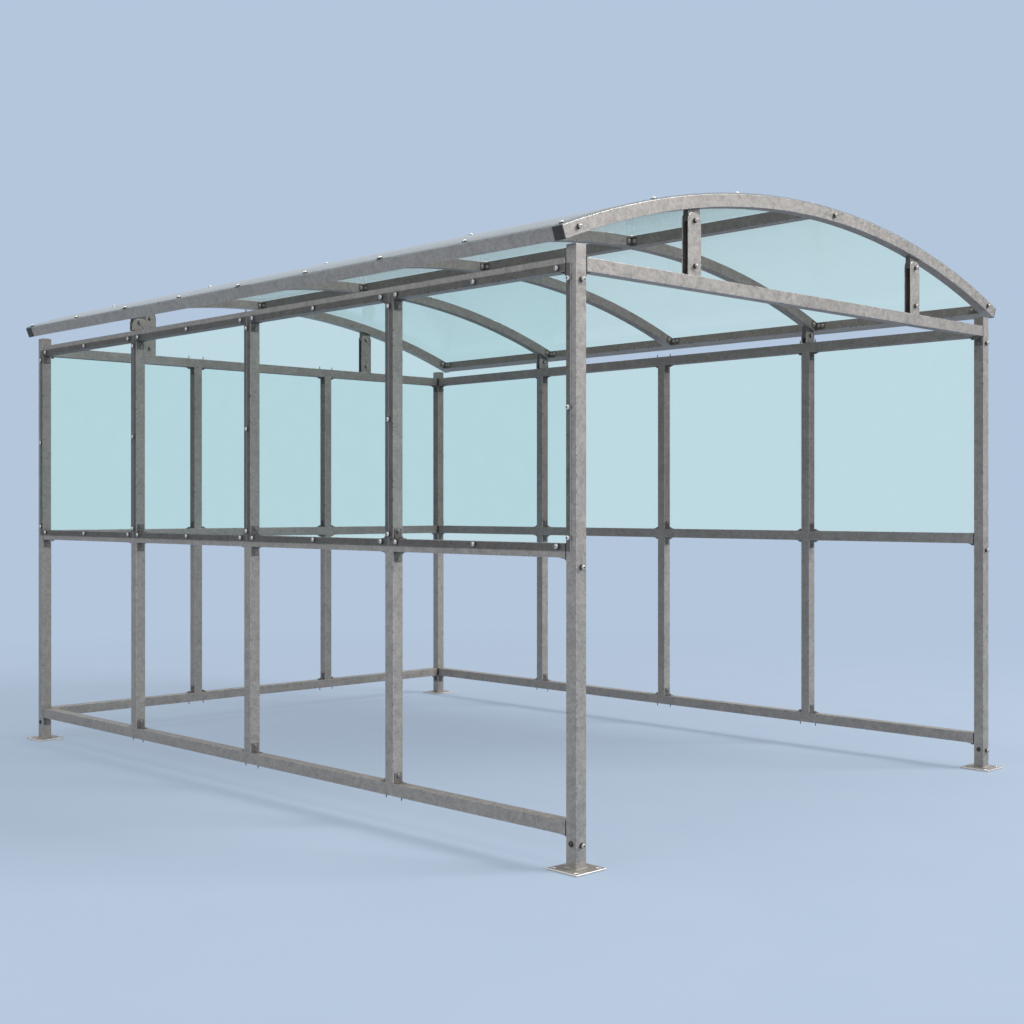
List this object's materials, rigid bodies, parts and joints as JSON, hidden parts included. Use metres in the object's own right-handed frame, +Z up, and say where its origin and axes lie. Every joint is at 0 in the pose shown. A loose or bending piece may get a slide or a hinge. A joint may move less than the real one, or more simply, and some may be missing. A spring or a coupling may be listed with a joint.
{
  "type": "smoking shelter",
  "caption": "Open-fronted shelter with a box-section steel frame, clear sheets on the upper walls and an arched clear sheet roof on bolted ribs.",
  "frame": {"origin": "on the ground, at the centre of the overall box in plan", "axes": "+Z up; the open gable faces -Y and the closed end wall is at +Y, the long direction; X runs across the shelter"},
  "size_m": [3.0456, 4.15, 2.5368],
  "materials": {
    "galvanised_steel": "hot-dip galvanised, dull warm grey",
    "black_plastic": "satin black",
    "clear_sheet": "clear, faint blue-green tint, gloss",
    "black_rubber": "matt",
    "bolt_zinc": "bright zinc plate"
  },
  "bodies": {
    "root": {"base_plates": "galvanised_steel", "post_front_left": "galvanised_steel", "post_front_right": "galvanised_steel", "post_back_left": "galvanised_steel", "post_back_right": "galvanised_steel", "post_caps": "galvanised_steel", "left_bottom_rail": "galvanised_steel", "left_mid_rail": "galvanised_steel", "left_top_rail": "galvanised_steel", "right_bottom_rail": "galvanised_steel", "right_mid_rail": "galvanised_steel", "right_top_rail": "galvanised_steel", "back_bottom_rail": "galvanised_steel", "back_mid_rail": "galvanised_steel", "back_top_rail": "galvanised_steel", "front_top_rail": "galvanised_steel", "left_lower_posts": "galvanised_steel", "left_upper_posts": "galvanised_steel", "right_lower_posts": "galvanised_steel", "right_upper_posts": "galvanised_steel", "back_lower_posts": "galvanised_steel", "back_upper_posts": "galvanised_steel", "post_cleats": "galvanised_steel", "rail_end_cleats": "galvanised_steel", "front_arch": "galvanised_steel", "back_arch": "galvanised_steel", "inner_arches": "galvanised_steel", "left_eaves_beam": "galvanised_steel", "right_eaves_beam": "galvanised_steel", "crown_purlin": "galvanised_steel", "purlin_cleats": "galvanised_steel", "rib_cleats": "galvanised_steel", "gable_stays": "galvanised_steel", "gable_stay_tabs": "galvanised_steel", "eaves_stubs": "galvanised_steel", "eaves_stub_tabs": "galvanised_steel", "rail_end_plugs": "black_plastic", "arch_end_caps": "black_plastic", "left_wall_sheets": "clear_sheet", "right_wall_sheets": "clear_sheet", "back_wall_sheets": "clear_sheet", "roof_sheets": "clear_sheet", "roof_washers": "black_rubber", "roof_bolts": "bolt_zinc"}
  },
  "joints": []
}
